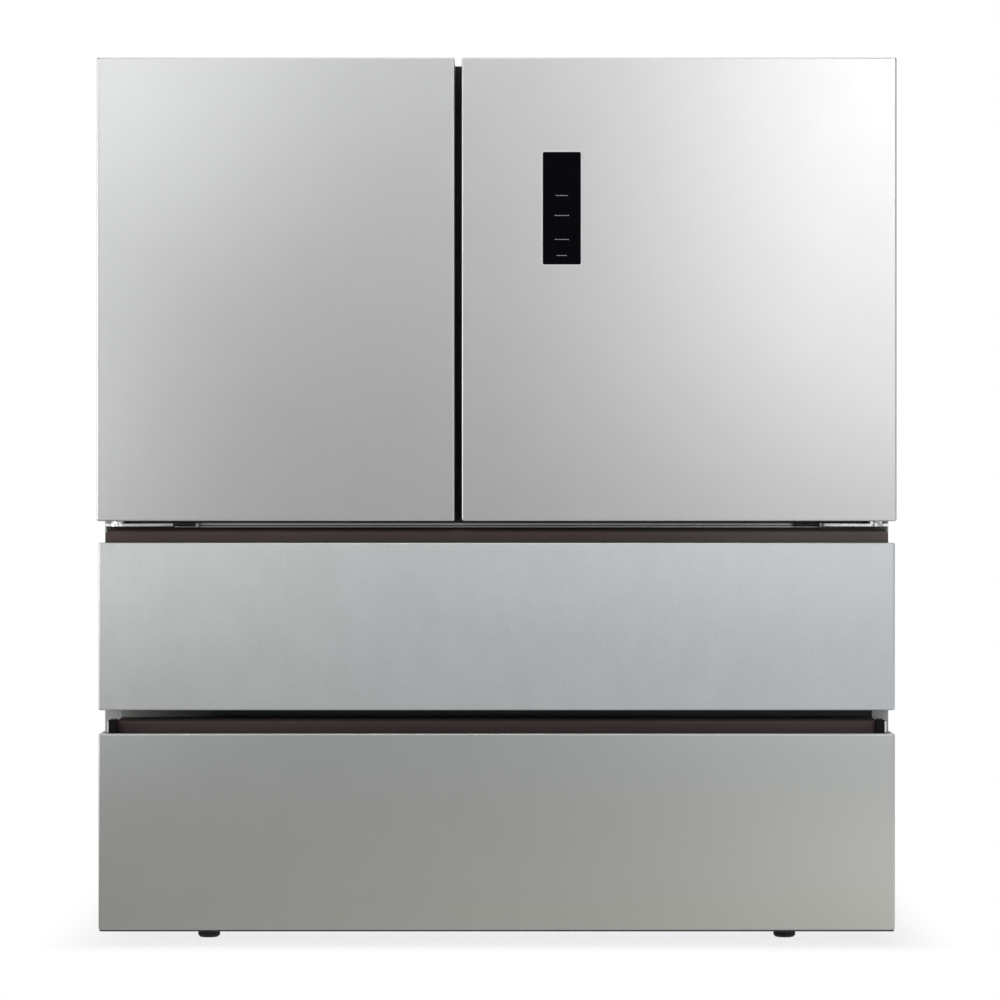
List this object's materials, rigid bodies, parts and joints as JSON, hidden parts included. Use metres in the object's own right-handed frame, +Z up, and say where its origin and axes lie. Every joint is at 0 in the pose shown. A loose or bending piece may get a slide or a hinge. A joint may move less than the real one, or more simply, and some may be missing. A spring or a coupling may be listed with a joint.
{
  "type": "refrigerator",
  "caption": "Counter-height refrigerator with stainless swing doors over full-width drawers, glass control panel and dark channel handles.",
  "frame": {"origin": "on the floor, under the middle of the overall box", "axes": "+X right and +Y to the back as seen from the front, +Z up"},
  "size_m": [0.914, 0.72, 1.0235],
  "materials": {
    "stainless_front": "satin",
    "cabinet_paint": "satin",
    "galvanised_steel": "satin",
    "zinc_hinge": "satin",
    "foam_core": "matte",
    "white_liner": "satin",
    "black_plastic": "satin",
    "grey_plastic": "satin",
    "clear_bin": "gloss",
    "shelf_glass": "gloss",
    "grey_seal": "matte",
    "brown_trim": "satin",
    "panel_glass": "gloss",
    "fin_aluminium": "satin",
    "black_enamel": "gloss",
    "runner_steel": "satin"
  },
  "bodies": {
    "cabinet": {"outer_shell": "cabinet_paint", "back_panel": "galvanised_steel", "base_frame": "galvanised_steel", "foam_insulation": "foam_core", "cross_rails": "cabinet_paint", "fridge_liner": "white_liner", "drawer_bay_liners": "white_liner", "centre_mullion": "black_plastic", "top_hinges": "zinc_hinge", "hinge_covers": "grey_plastic", "mid_hinges": "zinc_hinge", "door_stops": "black_plastic", "hinge_screws": "zinc_hinge", "shelf_frames": "white_liner", "glass_shelves": "shelf_glass", "ladder_rails": "white_liner", "crisper_drawers": "clear_bin", "air_covers": "white_liner", "lamp_lens": "clear_bin", "finned_coils": "fin_aluminium", "compressor_and_fan_motors": "black_enamel", "drip_tray": "black_plastic", "rear_cover": "galvanised_steel", "inlet_plate": "black_plastic", "power_inlet": "black_plastic", "fixed_rails": "runner_steel"},
    "left_door": {"left_door_skin": "stainless_front", "left_door_core": "foam_core", "left_door_liner": "white_liner", "left_door_gasket": "grey_seal", "left_door_end_caps": "grey_plastic", "left_door_bins": "clear_bin"},
    "right_door": {"right_door_skin": "stainless_front", "right_door_core": "foam_core", "right_door_liner": "white_liner", "right_door_gasket": "grey_seal", "right_door_end_caps": "grey_plastic", "right_door_bins": "clear_bin", "control_panel": "panel_glass"},
    "upper_drawer": {"upper_drawer_skin": "stainless_front", "upper_drawer_body": "grey_plastic", "upper_drawer_gasket": "grey_seal", "upper_drawer_trim": "brown_trim", "upper_drawer_basket": "clear_bin", "upper_drawer_rails": "runner_steel"},
    "upper_mid_runners": {"upper_mid_rails": "runner_steel"},
    "lower_drawer": {"lower_drawer_skin": "stainless_front", "lower_drawer_body": "grey_plastic", "lower_drawer_gasket": "grey_seal", "lower_drawer_trim": "brown_trim", "lower_drawer_basket": "clear_bin", "lower_drawer_rails": "runner_steel", "lower_drawer_trim_caps": "black_plastic"},
    "lower_mid_runners": {"lower_mid_rails": "runner_steel"},
    "evaporator_fan": {"evaporator_fan": "black_plastic"},
    "condenser_fan": {"condenser_fan": "black_plastic"},
    "left_foot": {"left_foot": "black_plastic"},
    "right_foot": {"right_foot": "black_plastic"},
    "left_roller": {"left_roller": "black_plastic"},
    "right_roller": {"right_roller": "black_plastic"}
  },
  "joints": [
    {"name": "left_door_hinge", "type": "hinge", "parent": "cabinet", "child": "left_door", "pos_m": [-0.435, -0.33, 0.75], "axis": [0, 0, -1], "range_deg": [0, 115]},
    {"name": "right_door_hinge", "type": "hinge", "parent": "cabinet", "child": "right_door", "pos_m": [0.435, -0.33, 0.75], "axis": [0, 0, 1], "range_deg": [0, 115]},
    {"name": "upper_drawer_slide", "type": "slide", "parent": "cabinet", "child": "upper_drawer", "axis": [0, -1, 0], "range_m": [0, 0.4]},
    {"name": "upper_mid_slide", "type": "slide", "parent": "cabinet", "child": "upper_mid_runners", "axis": [0, -1, 0], "range_m": [0, 0.2]},
    {"name": "lower_drawer_slide", "type": "slide", "parent": "cabinet", "child": "lower_drawer", "axis": [0, -1, 0], "range_m": [0, 0.3]},
    {"name": "lower_mid_slide", "type": "slide", "parent": "cabinet", "child": "lower_mid_runners", "axis": [0, -1, 0], "range_m": [0, 0.15]},
    {"name": "evaporator_fan_spin", "type": "hinge", "parent": "cabinet", "child": "evaporator_fan", "pos_m": [0.238, 0.218, 0.36525], "axis": [0, 1, 0], "continuous": true},
    {"name": "condenser_fan_spin", "type": "hinge", "parent": "cabinet", "child": "condenser_fan", "pos_m": [-0.052, 0.275, 0.108], "axis": [1, 0, 0], "continuous": true},
    {"name": "left_foot_screw", "type": "hinge", "parent": "cabinet", "child": "left_foot", "pos_m": [-0.336, -0.265, 0.005], "axis": [0, 0, 1], "continuous": true},
    {"name": "left_roller_spin", "type": "hinge", "parent": "cabinet", "child": "left_roller", "pos_m": [-0.396, 0.3, 0.022], "axis": [1, 0, 0], "continuous": true},
    {"name": "right_foot_screw", "type": "hinge", "parent": "cabinet", "child": "right_foot", "pos_m": [0.336, -0.265, 0.005], "axis": [0, 0, 1], "continuous": true},
    {"name": "right_roller_spin", "type": "hinge", "parent": "cabinet", "child": "right_roller", "pos_m": [0.396, 0.3, 0.022], "axis": [1, 0, 0], "continuous": true}
  ],
  "couplings": [
    {"joint": "upper_mid_slide", "follows": "upper_drawer_slide", "ratio": 0.5},
    {"joint": "lower_mid_slide", "follows": "lower_drawer_slide", "ratio": 0.5}
  ]
}
